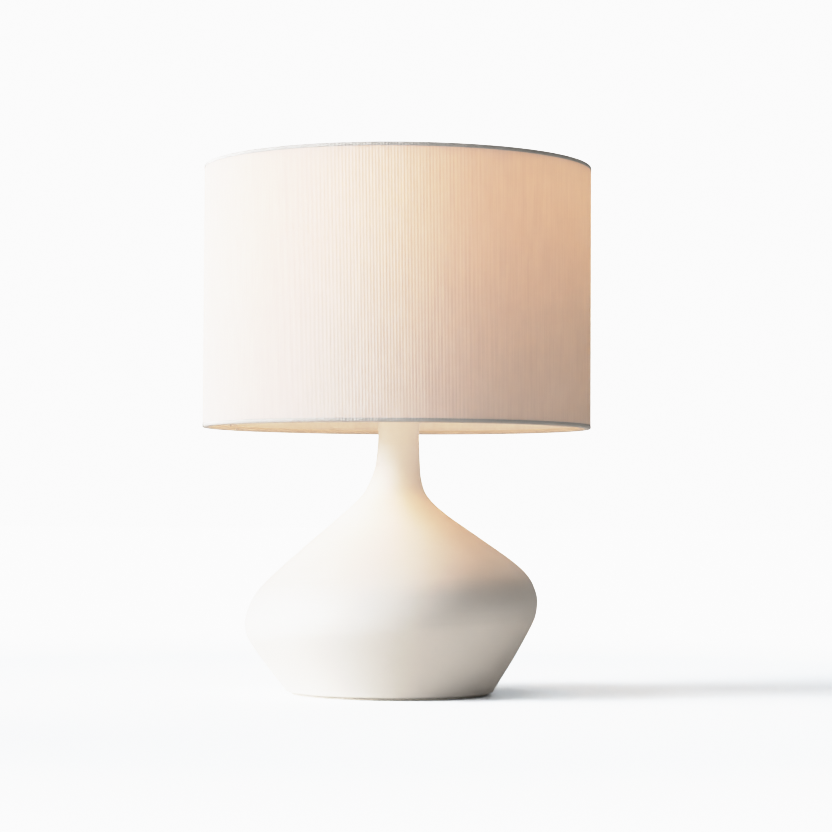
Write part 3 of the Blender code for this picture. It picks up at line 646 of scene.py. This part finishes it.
def shade_rings():
    for name, node, height in (
        ("top_ring", "shade_top_ring", TOP_RING_HEIGHT),
        ("bottom_ring", "shade_bottom_ring", BOTTOM_RING_HEIGHT),
    ):
        circle = [(math.cos(math.tau * k / 12), math.sin(math.tau * k / 12)) for k in range(12)]
        outline = [(RING_RADIUS + RING_WIRE * c, height - RING_WIRE * s) for c, s in circle]
        ring = revolve(name, outline, 180, flat_angle=80)
        place(ring, "shade", "white_paint", WHITE_PAINT, node)


def seam_tape():
    """The tape over the lining's seam, with its end folded over the hem as a small bump."""
    low, high = BOTTOM_RING_HEIGHT - 1.0 * MM, TOP_RING_HEIGHT - 4 * MM
    half, columns, rows = 6 * MM / LINER_INNER, 10, 60
    vertices, faces, uvs = [], [], []
    for side, radius in enumerate((LINER_INNER - 0.15 * MM, LINER_INNER - 0.75 * MM)):
        for row in range(rows + 1):
            height = low + (high - low) * row / rows
            above = height - low
            bulge = 3.4 * MM * math.exp(-((above / (3.2 * MM)) ** 2)) if side else 0.0
            for column in range(columns + 1):
                across = column / columns * 2 - 1
                crown = 1 - abs(across) ** 3
                frayed = 0.12 * MM * math.sin(row * 1.7) * (abs(across) > 0.99)
                angle = SEAM_ANGLE + half * across + frayed
                r = radius - bulge * crown
                vertices.append((r * math.cos(angle), r * math.sin(angle), height))
    width = columns + 1
    back = (rows + 1) * width
    for row in range(rows):
        for column in range(columns):
            a = row * width + column
            faces.append((a, a + 1, a + 1 + width, a + width))
            faces.append((back + a, back + a + width, back + a + 1 + width, back + a + 1))
    for row in range(rows):
        for a, flip in ((row * width, False), (row * width + columns, True)):
            face = (a, a + width, back + a + width, back + a)
            faces.append(face[::-1] if flip else face)
    for column in range(columns):
        for a, flip in ((column, True), (rows * width + column, False)):
            face = (a, a + 1, back + a + 1, back + a)
            faces.append(face[::-1] if flip else face)
    tape = new_mesh_object("seam_tape", vertices, faces)
    bm = bmesh.new()
    bm.from_mesh(tape.data)
    bmesh.ops.recalc_face_normals(bm, faces=bm.faces)
    bm.to_mesh(tape.data)
    bm.free()
    place(tape, "shade", "shade_liner", LINING, "shade_seam_tape")


# ---------------------------------------------------------------- foot


def cord_grommet():
    """The flanged bushing in the cord's outlet."""
    points = [
        (6.3, 0.6, 0.3), (6.3, -5.4, 0.4), (5.9, -6.0, 0.3), (4.5, -6.0, 0.3), (4.5, 1.5, 0.8),
        (5.3, 2.3, 0.5), (8.0, 2.3, 0.6), (8.6, 1.7, 0.5), (8.6, 0.6, 0.3),
    ]
    bushing = turned("grommet", points, at=OUTLET, along=OUTWARD)
    place(bushing, "lamp", "white_plastic", WHITE_PLASTIC, "cord_grommet")


def felt_pad():
    """A die-cut felt disc with a soft edge."""
    centre = (PAD_LOW + PAD_HIGH) / 2
    edge = (PAD_HIGH.x - PAD_LOW.x) / 2 / MM
    thick = PAD_HIGH.z / MM
    points = [
        (0, 0), (edge * 0.5, 0), (edge - 0.6, 0, 0.4), (edge, thick / 2, 0.9), (edge - 0.5, thick, 0.4),
        (0, thick),
    ]

    def fray(angles, radius, height):
        if radius < (edge - 2) * MM:
            return 0.0
        return -0.16 * MM * (1 + np.sin(angles * 61) * np.sin(angles * 97 + 0.7))

    pad = turned("felt_disc", points, 360, at=(centre.x, centre.y, 0), shape=fray)
    place(pad, "lamp", "felt", FELT, "felt_pad")


# ---------------------------------------------------------------- neck, socket and switch


def neck_cap():
    top, base = CAP_TOP / MM, NECK_TOP / MM + 0.3
    points = [
        (5.4, top), (12.6, top, 0.4), (13.4, top - 0.5, 0.4), (16.0, top - 0.9, 0.7), (16.0, base, 0.3),
        (8.8, base), (8.8, base - 5, 0.4), (5.4, base - 5),
    ]
    place(turned("neck_cap_turned", points), "lamp", "nickel", NICKEL, "neck_cap")


def harp_saddle():
    """A pressed strip with a hole for the pipe, whose narrow ends turn up to hold the harp."""
    base, top, post_top = SADDLE_LOW.z, SADDLE_TOP, SADDLE_HIGH.z
    outer, inner = SADDLE_HIGH.y, SADDLE_HIGH.y - 1.6 * MM
    post, mid_height = (outer + inner) / 2, (base + top) / 2
    level = [(y * MM, mid_height, 7.0 * MM) for y in (0, 4, 8, 12, 16)]
    bend = [
        (19.0 * MM, mid_height, 6.3 * MM), (post - 0.9 * MM, mid_height + 0.1 * MM, 6.4 * MM),
        (post - 0.2 * MM, mid_height + 0.9 * MM, 6.2 * MM), (post, top + 1.2 * MM, 5.6 * MM),
    ]
    rise = [(post, top + 2.0 * MM, 2.2 * MM), (post, top + 8.0 * MM, 2.2 * MM)]
    tip = [(post, post_top - 1.0 * MM, 2.2 * MM), (post, post_top, 1.5 * MM)]
    half = level + bend + rise + tip  # (y, height, half width) along the strip's middle
    path = [(-y, z, w) for y, z, w in reversed(half[1:])] + half
    vertices, faces = [], []
    for i, (y, z, w) in enumerate(path):
        before, after = path[max(i - 1, 0)], path[min(i + 1, len(path) - 1)]
        along = Vector((after[0] - before[0], after[1] - before[1])).normalized()
        normal = Vector((-along.y, along.x)) * 0.8 * MM
        for side in (1, -1):
            for x in (-w, w):
                vertices.append((x, y + side * normal.x, z + side * normal.y))
    for i in range(len(path) - 1):
        a, b = i * 4, i * 4 + 4
        faces += [(a, a + 1, b + 1, b), (a + 2, b + 2, b + 3, a + 3)]
        faces += [(a, b, b + 2, a + 2), (a + 1, a + 3, b + 3, b + 1)]
    faces += [(0, 2, 3, 1), (a + 4, a + 5, a + 7, a + 6)]
    strip = new_mesh_object("saddle_strip", vertices, faces)
    strip = drill(strip, 5.4 * MM, (0, 0, base - MM), (0, 0, top + MM))
    bevel = strip.modifiers.new("edges", "BEVEL")
    bevel.width = 0.25 * MM
    bevel.segments = 2
    bevel.limit_method = "ANGLE"
    strip = applied(strip)
    strip.data.set_sharp_from_angle(angle=math.radians(40))
    place(strip, "lamp", "nickel", NICKEL, "harp_saddle")


def socket_cap():
    """The spun cup under the socket, with a step and a rolled rim."""
    s = SOCKET_BASE / MM
    outside = [
        (17.0, s + 17.2, 0.2), (17.0, s + 14.0, 1.6), (15.4, s + 10.5, 1.5), (11.0, s + 7.5, 2.0),
        (7.5, s + 6.0, 1.0), (7.5, s, 0.4),
    ]
    inside = [
        (5.4, s), (5.4, s + 7.2, 1.0), (10.4, s + 8.6, 1.0), (14.6, s + 11.4, 1.0), (16.2, s + 14.4, 1.0),
        (16.2, s + 17.2, 0.2),
    ]
    points = outside + inside
    place(turned("socket_cup", points), "lamp", "nickel", NICKEL, "socket_cap")


def cap_set_screw():
    """The grub screw in the cup's neck, with a hexagonal recess."""
    def hexagon(angles, radius, height):
        if not 0.1 * MM < radius < 0.9 * MM:
            return 0.0
        around = angles % (math.tau / 6) - math.tau / 12
        return radius * (math.cos(math.tau / 12) / np.cos(around) - 1)

    points = [
        (0, 0), (1.1, 0), (1.4, 0.3), (1.4, 4.4), (1.2, 4.8), (0.8, 4.8), (0.8, 3.6), (0, 3.6),
    ]
    screw = turned("grub_screw", points, 48, (0, 5.4 * MM, SOCKET_BASE + 3 * MM), (0, 1, 0), hexagon)
    place(screw, "lamp", "steel", STEEL, "cap_set_screw")


def socket_shell():
    """The outer shell, with pressed beads and a rolled rim."""
    low, high = SHELL_LOW.z / MM, SHELL_HIGH.z / MM
    bead = [(17.0, high - 8.0, 0.6), (17.45, high - 8.8, 0.7), (17.0, high - 9.6, 0.6)]
    lower_bead = [(17.0, low + 2.6, 0.6), (17.45, low + 1.8, 0.7), (17.0, low + 1.0, 0.6)]
    points = [
        (16.6, high, 0.2), (17.3, high - 0.1, 0.5), (17.5, high - 1.2, 0.6), (17.0, high - 2.6, 0.8), *bead,
        *lower_bead, (17.0, low, 0.2), (16.4, low), (16.4, high - 0.4, 0.2),
    ]
    shell = turned("socket_shell_spun", points, 96)
    height = (KNOB_LOW.z + KNOB_HIGH.z) / 2
    shell = drill(shell, 3.4 * MM, (10 * MM, 0, height), (20 * MM, 0, height))
    shell.data.set_sharp_from_angle(angle=math.radians(40))
    place(shell, "lamp", "nickel", NICKEL, "socket_shell")


def switch_knob():
    """A fluted moulded knob with a domed end."""
    length = (KNOB_HIGH.x - KNOB_LOW.x) / MM
    radius = (KNOB_HIGH.z - KNOB_LOW.z) / 2 / MM - 0.05
    points = [
        (radius, 0.2, 0.3), *steps(radius, 1.0, 6.0, 4), (radius * 0.9, length - 1.2, 1.0),
        (radius * 0.7, length, 0.8), (0, length), (0, length - 4.7), (2.5, length - 4.7), (2.5, 0),
        (radius - 0.4, 0, 0.3),
    ]
    centre = (KNOB_LOW.x, 0, (KNOB_LOW.z + KNOB_HIGH.z) / 2)
    knob = turned("knob", points, 144, centre, (1, 0, 0), knurl(12, 0.55, radius * 0.72, radius + 1))
    place(knob, "switch", "black_plastic", BLACK_PLASTIC, "switch_knob")


# ---------------------------------------------------------------- bulb


def bulb():
    """Frosted dome, moulded housing with a fine seam, and a threaded base."""
    z = DOME_LOW.z / MM
    side = smooth_path([(0, 58), (10, 57), (20, 52), (27, 42.5), (30.0, 30.0), (29.0, 14.0), (26.5, 0)], 8)
    outside = [(max(p.x, 0), z + p.y) for p in side]
    inside = [(r * 0.955, z + (h - z) * 0.975) for r, h in reversed(outside)]
    place(turned("bulb_globe", outside + inside, 96), "bulb", "bulb_diffuser", DIFFUSER, "bulb_dome")
    low, high = (v.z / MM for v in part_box("bulb_housing"))
    shell = [(13.8, 0), (14.5, 3), (16.0, 5.2), (19.0, 9), (22.5, 14.2), (25.0, 20)]
    curve = [(p.x, low + p.y) for p in smooth_path(shell, 5)]
    points = [
        (0, low), *curve, (26.1, high - 1.6, 0.4), (25.8, high - 1.3, 0.2), (26.4, high - 1.0, 0.3),
        (26.4, high, 0.3), (0, high),
    ]
    place(turned("bulb_body", points, 96), "bulb", "white_plastic", WHITE_PLASTIC, "bulb_housing")
    low, high = (v.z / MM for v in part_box("bulb_screw_base"))
    points = [
        (0, low), (9.6, low, 0.4), (12.2, low + 2.6, 0.6), *steps(12.65, low + 3.2, high - 1.4, 60),
        (12.65, high), (0, high),
    ]
    thread = helix(3.6, 0.9, 12.5, 12.8, low + 3.1, high - 1.3)
    place(turned("bulb_thread", points, 72, shape=thread), "bulb", "nickel", NICKEL, "bulb_screw_base")


# ---------------------------------------------------------------- harp and finial


def harp():
    """The bent wire of the harp."""
    top, foot = HARP_SEAT - 5.0 * MM, SADDLE_TOP + 1.0 * MM
    leg_y = 25.8 * MM
    bow = [(27.5, 33), (40.0, 50), (52.0, 76), (56.5, 108), (52.5, 142), (40.5, 171)]  # above the leg's foot
    side = [
        (leg_y, foot + 26 * MM), *((y * MM, foot + z * MM) for y, z in bow),
        (24.0 * MM, top - 5.5 * MM), (11.0 * MM, top),
    ]
    half = [Vector((leg_y, foot)), *smooth_path(side, 9)]
    route = [(0, -p.x, p.y) for p in half] + [(0, p.x, p.y) for p in reversed(half)]
    place(wire("harp_wire", route, 1.58 * MM), "harp", "nickel", WIRE_NICKEL, "harp")


def harp_stud():
    """The boss on the harp's top, its seat and its threaded stud."""
    top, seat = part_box("harp_stud")[1].z / MM, HARP_SEAT / MM
    points = [
        (0, top), (2.5, top, 0.2), *steps(3.0, top - 0.6, seat + 0.8, 84), (3.0, seat, 0.2), (8.5, seat, 0.5),
        (8.5, seat - 1.6, 0.5), (6.2, seat - 2.2, 0.4), (5.5, seat - 2.8, 0.5), (5.5, seat - 8.4, 0.6),
        (4.7, seat - 9.2, 0.4), (0, seat - 9.2),
    ]
    thread = helix(0.8, 0.3, 2.9, 3.1, seat + 0.7, top - 0.5)
    stud = turned("stud_turned", points, 64, shape=thread)
    place(stud, "harp", "nickel", NICKEL, "harp_stud")


def harp_sleeves():
    """Two flared sleeves that lock the harp's legs to the saddle's posts."""
    for body in ("sleeve_front", "sleeve_back"):
        low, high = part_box("harp_" + body)
        centre = (low + high) / 2
        points = [
            (4.4, 10.0, 0.4), (4.4, 6.2, 0.2), (4.15, 5.8, 0.2), (4.4, 5.4, 0.2), (4.4, 3.0, 0.8),
            (5.0, 1.2, 0.6), (5.0, 0, 0.3), (3.6, 0, 0.2), (3.6, 10.0, 0.2),
        ]
        sleeve = turned(body + "_turned", points, at=(centre.x, centre.y, low.z))
        place(sleeve, body, "nickel", NICKEL, "harp_" + body)


def finial():
    """A turned ball on a knurled foot."""
    low, high = (v.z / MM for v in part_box("finial"))
    ball, centre = 6.6, high - 6.6
    arc = [math.radians(90 - 130 * k / 26) for k in range(27)]
    globe = [(ball * math.cos(a), centre + ball * math.sin(a)) for a in arc]
    globe[0] = (0, high)
    points = [
        *globe, (4.7, low + 3.9, 0.4), (5.3, low + 3.4, 0.3), (6.3, low + 2.9, 0.3),
        *steps(6.75, low + 2.6, low + 0.4, 3), (6.5, low, 0.2), (3.5, low), (3.5, low + 10.4),
        (0, low + 10.4),
    ]
    made = turned("finial_turned", points, 192, shape=knurl(36, 0.3, 6.7, 7.0))
    place(made, "finial", "nickel", NICKEL, "finial")


# ---------------------------------------------------------------- spider


def spider():
    """The pressed hub, and three arms that rise from it to the top ring."""
    low, high = (v.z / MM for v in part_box("spider_hub"))
    points = [
        (3.6, low), (3.6, high), (5.6, high, 0.3), (6.4, high - 0.5, 0.4), (11.6, high - 0.5, 0.4),
        (12.6, high, 0.4), (14.4, high, 0.5), (15.0, high - 0.8, 0.5), (14.4, low, 0.4), (12.9, low, 0.3),
        (12.0, low + 0.3, 0.3), (6.0, low + 0.3, 0.3), (5.4, low, 0.3),
    ]
    place(turned("hub_pressed", points, 96), "shade", "white_paint", WHITE_PAINT, "spider_hub")
    level, rim = low * MM + 1.6 * MM, TOP_RING_HEIGHT - 0.8 * MM
    tip = RING_RADIUS - RING_WIRE - 0.3 * MM
    profile = [
        (15.4 * MM, level), (50 * MM, level), (100 * MM, level + 0.8 * MM), (128 * MM, level + 4.5 * MM),
        (150 * MM, rim - 2.2 * MM), (163 * MM, rim), (tip, rim),
    ]
    path = smooth_path(profile, 8)
    for number, degrees in enumerate((60, 180, 300), start=1):
        a = math.radians(degrees)
        points = [(p.x * math.cos(a), p.x * math.sin(a), p.y) for p in path]
        arm = wire(f"painted_arm_{number}", points, 1.57 * MM)
        place(arm, "shade", "white_paint", WHITE_PAINT, f"spider_arm_{number}")


# ---------------------------------------------------------------- other CAD nodes


def carried_nodes():
    """Gives every CAD node the material of its slot."""
    slots = {entry["node"]: entry["material_slot"] for entry in frame["record"]["subparts"]}
    for name, obj in frame["nodes"].items():
        obj.data.materials.clear()
        obj.data.materials.append(SLOT_MATERIALS[slots[name]])


# ---------------------------------------------------------------- stage, light and camera

LENS = 113.02  # mm, on a 36 mm sensor
CAMERA_PLACE = (0, -2.3991, 0.1636)
CAMERA_TURN = (2.1785, 0.42524, 0.28373)  # pitch up, yaw to the right and roll, in degrees

BACKDROP = 3.0
FLOOR_HALF = 30.0
FLOOR_FADE = (0.7, 1.3)  # metres from the lamp
SUNS = (  # name, azimuth, elevation, strength
    ("key", -75, 18, 3.35), ("side", -90, 4, 1.95), ("key_front", -60, 18, 1.3), ("fill", -28, 4, 0.74),
    ("rear", 150, 40, 0.57), ("key_high", -75, 52, 0.34),
)
SUN_SPREAD = 26  # degrees across, for soft edges
SHADE_LIGHT, SHADE_LIGHT_HEIGHT = 5.2, 0.457
BODY_LIGHT, BODY_LIGHT_HEIGHT = 1.38, 0.41
BULB_LIGHT_RADIUS, BULB_LIGHT_FORWARD = 24 * MM, 10 * MM
OFF_THE_LINING = (1.0, 0.53, 0.24)  # the bulb's light, warmer after the shade's inside has thrown it back
TONE_RANGE = 4.0
TONE = (  # brightness in the scene, and in the picture
    (0, 0), (0.3, 0.3), (0.55, 0.55), (0.68, 0.675), (0.9, 0.807), (1.05, 0.855), (1.3, 0.913), (1.6, 0.943),
    (2.2, 0.959), (3.0, 0.9665), (4.0, 0.970),
)
FLOOR_SEEN = (1.82, 1.98, 2.14)
FLOOR_BOUNCE = (1.0, 0.97, 0.92)


def stage():
    """A pale floor that fades into the white backdrop around it."""
    n = Nodes("pale_floor")
    n.tree.nodes.remove(n.surface)
    seen = n.add("ShaderNodeBsdfDiffuse")
    seen.inputs["Color"].default_value = (*FLOOR_SEEN, 1)
    bounce = n.add("ShaderNodeBsdfDiffuse")
    bounce.inputs["Color"].default_value = (*FLOOR_BOUNCE, 1)
    backdrop = n.add("ShaderNodeEmission")
    backdrop.inputs["Strength"].default_value = BACKDROP
    away = n.add("ShaderNodeVectorMath", operation="LENGTH")
    n.link(n.coordinates(), away.inputs[0])
    fade = n.add("ShaderNodeMixShader")
    n.link(n.spread(away.outputs["Value"], 0, 1, *FLOOR_FADE), fade.inputs["Fac"])
    n.link(seen.outputs[0], fade.inputs[1])
    n.link(backdrop.outputs[0], fade.inputs[2])
    path = n.add("ShaderNodeLightPath")
    mix = n.add("ShaderNodeMixShader")
    n.link(path.outputs["Is Camera Ray"], mix.inputs["Fac"])
    n.link(bounce.outputs[0], mix.inputs[1])
    n.link(fade.outputs[0], mix.inputs[2])
    n.link(mix.outputs[0], n.output.inputs["Surface"])
    mesh = bpy.data.meshes.new("floor")
    bm = bmesh.new()
    bmesh.ops.create_grid(bm, x_segments=8, y_segments=8, size=FLOOR_HALF)
    bm.to_mesh(mesh)
    bm.free()
    floor = bpy.data.objects.new("floor", mesh)
    floor.data.materials.append(n.material)
    bpy.context.scene.collection.objects.link(floor)


def sun(name, azimuth, elevation, strength):
    """A very large soft light. azimuth is in degrees from the front (-Y), positive to the right (+X)."""
    light = bpy.data.lights.new(name, "SUN")
    light.energy = strength
    light.angle = math.radians(SUN_SPREAD)
    obj = bpy.data.objects.new(name, light)
    a, e = math.radians(azimuth), math.radians(elevation)
    towards = Vector((math.sin(a) * math.cos(e), -math.cos(a) * math.cos(e), math.sin(e)))
    obj.rotation_mode = "QUATERNION"
    obj.rotation_quaternion = towards.to_track_quat("Z", "Y")
    bpy.context.scene.collection.objects.link(obj)
    return obj


def only_lights(light, lit, shadowed_by=()):
    """Limits a light to some objects and, when given, to the shadows of some objects."""
    light.light_linking.receiver_collection = bpy.data.collections.new(light.name + "_lit")
    for obj in lit:
        light.light_linking.receiver_collection.objects.link(obj)
    if shadowed_by:
        light.light_linking.blocker_collection = bpy.data.collections.new(light.name + "_shadows")
        for obj in shadowed_by:
            light.light_linking.blocker_collection.objects.link(obj)


def bulb_light(name, energy, height, colour):
    """A point light for the glow of the bulb's dome."""
    light = bpy.data.lights.new(name, "POINT")
    light.energy = energy
    light.shadow_soft_size = BULB_LIGHT_RADIUS
    light.color = colour
    obj = bpy.data.objects.new(name, light)
    obj.location = (0, -BULB_LIGHT_FORWARD, height)
    bpy.context.scene.collection.objects.link(obj)
    return obj


def bulb_lights():
    """One light for the shade and its frame, and a weaker one for the ceramic. The floor gets neither."""
    pieces = {obj.name: obj for obj in bpy.data.objects if obj.type in ("MESH", "CURVE")}
    pieces.pop("floor")
    body = pieces.pop("body_ceramic")
    only_lights(bulb_light("bulb_light", SHADE_LIGHT, SHADE_LIGHT_HEIGHT, BULB_COLOUR), pieces.values())
    rim = [pieces[name] for name in ("shade_wall", "bottom_hem", "bottom_ring")]
    body_light = bulb_light("body_light", BODY_LIGHT, BODY_LIGHT_HEIGHT, OFF_THE_LINING)
    only_lights(body_light, [body], [body, *rim])
    pieces["bulb_globe"].visible_shadow = False


def camera():
    """A long lens a little above table height, in front of the lamp and level with its neck."""
    pitch, yaw, roll = (math.radians(a) for a in CAMERA_TURN)
    forward = Vector((math.sin(yaw) * math.cos(pitch), math.cos(yaw) * math.cos(pitch), math.sin(pitch)))
    level = forward.cross(Vector((0, 0, 1))).normalized()
    upright = level.cross(forward)
    right = level * math.cos(roll) + upright * math.sin(roll)
    up = upright * math.cos(roll) - level * math.sin(roll)
    data = bpy.data.cameras.new("camera")
    data.lens = LENS
    data.sensor_width = 36
    obj = bpy.data.objects.new("camera", data)
    turn = Matrix((right, up, -forward)).transposed().to_4x4()
    obj.matrix_world = Matrix.Translation(CAMERA_PLACE) @ turn
    bpy.context.scene.collection.objects.link(obj)
    bpy.context.scene.camera = obj


def world(strength):
    """The soft light from all round, and the white that the camera sees behind the lamp."""
    made = bpy.data.worlds.new("studio")
    made.use_nodes = True
    tree = made.node_tree
    ambient = tree.nodes["Background"]
    ambient.inputs["Color"].default_value = (1, 1, 1, 1)
    ambient.inputs["Strength"].default_value = strength
    seen = tree.nodes.new("ShaderNodeBackground")
    seen.inputs["Strength"].default_value = BACKDROP
    path = tree.nodes.new("ShaderNodeLightPath")
    mix = tree.nodes.new("ShaderNodeMixShader")
    tree.links.new(path.outputs["Is Camera Ray"], mix.inputs["Fac"])
    tree.links.new(ambient.outputs[0], mix.inputs[1])
    tree.links.new(seen.outputs[0], mix.inputs[2])
    tree.links.new(mix.outputs[0], tree.nodes["World Output"].inputs["Surface"])
    bpy.context.scene.world = made


def tone():
    """A soft shoulder: brightness above about 0.7 is held back more and more, to just under white."""
    view = bpy.context.scene.view_settings
    view.view_transform = "Standard"
    view.use_curve_mapping = True
    mapping = view.curve_mapping
    mapping.white_level = (TONE_RANGE, TONE_RANGE, TONE_RANGE)
    curve = mapping.curves[3]
    for brightness, shown in TONE[1:-1]:
        curve.points.new(brightness / TONE_RANGE, shown)
    curve.points[-1].location = (1.0, TONE[-1][1])
    mapping.update()


camera()
carried_nodes()
ceramic_body()
shade_wall()
shade_hem("top_hem", "shade_top_hem", HEM_HIGH, up=-1)
shade_hem("bottom_hem", "shade_bottom_hem", HEM_LOW, up=1)
shade_rings()
seam_tape()
spider()
finial()
harp()
harp_stud()
harp_sleeves()
harp_saddle()
bulb()
socket_shell()
socket_cap()
cap_set_screw()
switch_knob()
neck_cap()
cord_grommet()
felt_pad()
stage()
for settings in SUNS:
    sun(*settings)
only_lights(sun("floor_light", azimuth=0, elevation=85, strength=0.29), [bpy.data.objects["floor"]])
bulb_lights()
world(strength=0.03)
tone()
